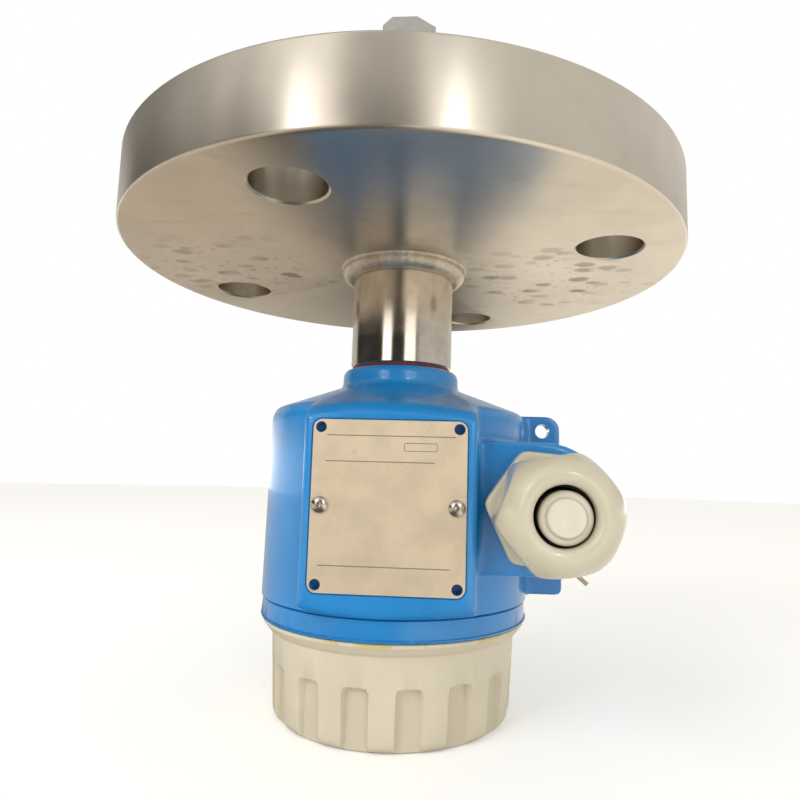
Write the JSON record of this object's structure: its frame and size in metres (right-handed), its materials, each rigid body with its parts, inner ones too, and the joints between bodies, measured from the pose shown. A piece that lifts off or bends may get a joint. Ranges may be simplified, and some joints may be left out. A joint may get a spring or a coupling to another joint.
{
  "type": "vibrating fork level switch",
  "caption": "Flanged vibrating fork level switch with a turning cast housing, screw cover, cable gland and electronic insert.",
  "frame": {"origin": "centre of the flange's back face, on the sensor's axis", "axes": "+Z along the sensor's axis towards the fork, -Y out of the nameplate"},
  "size_m": [0.165, 0.165, 0.2127],
  "materials": {
    "flange_steel": "turned stainless steel with faint stains",
    "neck_steel": "polished stainless steel",
    "weld_steel": "rippled weld bead",
    "fork_steel": "fine ground stainless steel",
    "spring_steel": "dark spring steel",
    "blue_paint": "gloss powder paint on cast aluminium",
    "plate_steel": "fine brushed, matt",
    "pin_steel": "bright domed heads",
    "gland_plastic": "light grey polyamide, glossy",
    "cap_plastic": "pale polyethylene",
    "cover_plastic": "beige moulded plastic, satin",
    "black_rubber": "black sealing rubber",
    "red_rubber": "dark red silicone",
    "insert_plastic": "black moulded plastic",
    "switch_plastic": "white plastic",
    "terminal_plastic": "green moulded plastic",
    "board_laminate": "green circuit board",
    "component_plastic": "dark component bodies",
    "led_lens": "clear red lenses",
    "ceramic": "sintered drive ceramic",
    "contact_brass": "plated brass",
    "wire_insulation": "white wire insulation"
  },
  "bodies": {
    "sensor": {"flange": "flange_steel", "neck_sleeve": "neck_steel", "sensor_tube": "neck_steel", "neck_weld": "weld_steel", "face_weld": "weld_steel", "fork_girth_weld": "weld_steel", "tuning_fork": "fork_steel", "retaining_ring": "spring_steel", "drive_back_mass": "spring_steel", "drive_bolt": "spring_steel", "drive_nut": "spring_steel", "drive_pressure_ring": "spring_steel", "swivel_o_ring": "black_rubber", "neck_seal_ring": "red_rubber", "sealing_plug": "component_plastic", "piezo_discs": "ceramic", "contact_pins": "contact_brass", "piezo_electrodes": "contact_brass", "sensor_leads": "wire_insulation"},
    "cover_ring": {"cover_seal": "black_rubber"},
    "cover": {"cover": "cover_plastic"},
    "gland_ring": {"gland_seal_insert": "black_rubber"},
    "gland_nut": {"gland_nut": "gland_plastic"},
    "gland_cap": {"gland_cap": "cap_plastic"},
    "safety_slider": {"safety_switch": "switch_plastic"},
    "density_slider": {"density_switch": "switch_plastic"},
    "housing": {"housing": "blue_paint", "swivel_lock_screw": "spring_steel", "nameplate": "plate_steel", "nameplate_pins": "pin_steel", "gland_body": "gland_plastic", "gland_seal_washer": "black_rubber", "blanking_plug": "gland_plastic", "blanking_plug_seal": "black_rubber", "insert_base": "insert_plastic", "insert_socket": "insert_plastic", "insert_lid": "insert_plastic", "insert_screws": "pin_steel", "status_lights": "led_lens", "circuit_board": "board_laminate", "board_components": "component_plastic", "board_posts": "component_plastic", "terminal_block": "terminal_plastic", "terminal_screws": "pin_steel", "ground_clamp": "pin_steel", "ground_spring_washer": "pin_steel", "ground_screw": "pin_steel"}
  },
  "joints": [
    {"name": "housing_swivel", "type": "hinge", "parent": "sensor", "child": "housing", "pos_m": [0, 0, -0.04], "axis": [0, 0, 1], "range_deg": [-175, 175]},
    {"name": "cover_travel", "type": "slide", "parent": "housing", "child": "cover_ring", "axis": [0, 0, -1], "range_m": [0, 0.012]},
    {"name": "cover_turn", "type": "hinge", "parent": "cover_ring", "child": "cover", "pos_m": [0, 0, -0.11], "axis": [0, 0, -1], "range_deg": [0, 2160]},
    {"name": "gland_travel", "type": "slide", "parent": "housing", "child": "gland_ring", "axis": [0, -1, 0], "range_m": [0, 0.009]},
    {"name": "gland_turn", "type": "hinge", "parent": "gland_ring", "child": "gland_nut", "pos_m": [0.04, -0.05, -0.0713], "axis": [0, -1, 0], "range_deg": [0, 2160]},
    {"name": "cap_pull", "type": "slide", "parent": "gland_ring", "child": "gland_cap", "axis": [0, -1, 0], "range_m": [0, 0.03]},
    {"name": "safety_switch_slide", "type": "slide", "parent": "housing", "child": "safety_slider", "axis": [0, -1, 0], "range_m": [0, 0.0025]},
    {"name": "density_switch_slide", "type": "slide", "parent": "housing", "child": "density_slider", "axis": [0, -1, 0], "range_m": [0, 0.0025]}
  ],
  "couplings": [
    {"joint": "cover_travel", "follows": "cover_turn", "m_per_rad": 0.00031831},
    {"joint": "gland_travel", "follows": "gland_turn", "m_per_rad": 0.00023873}
  ]
}
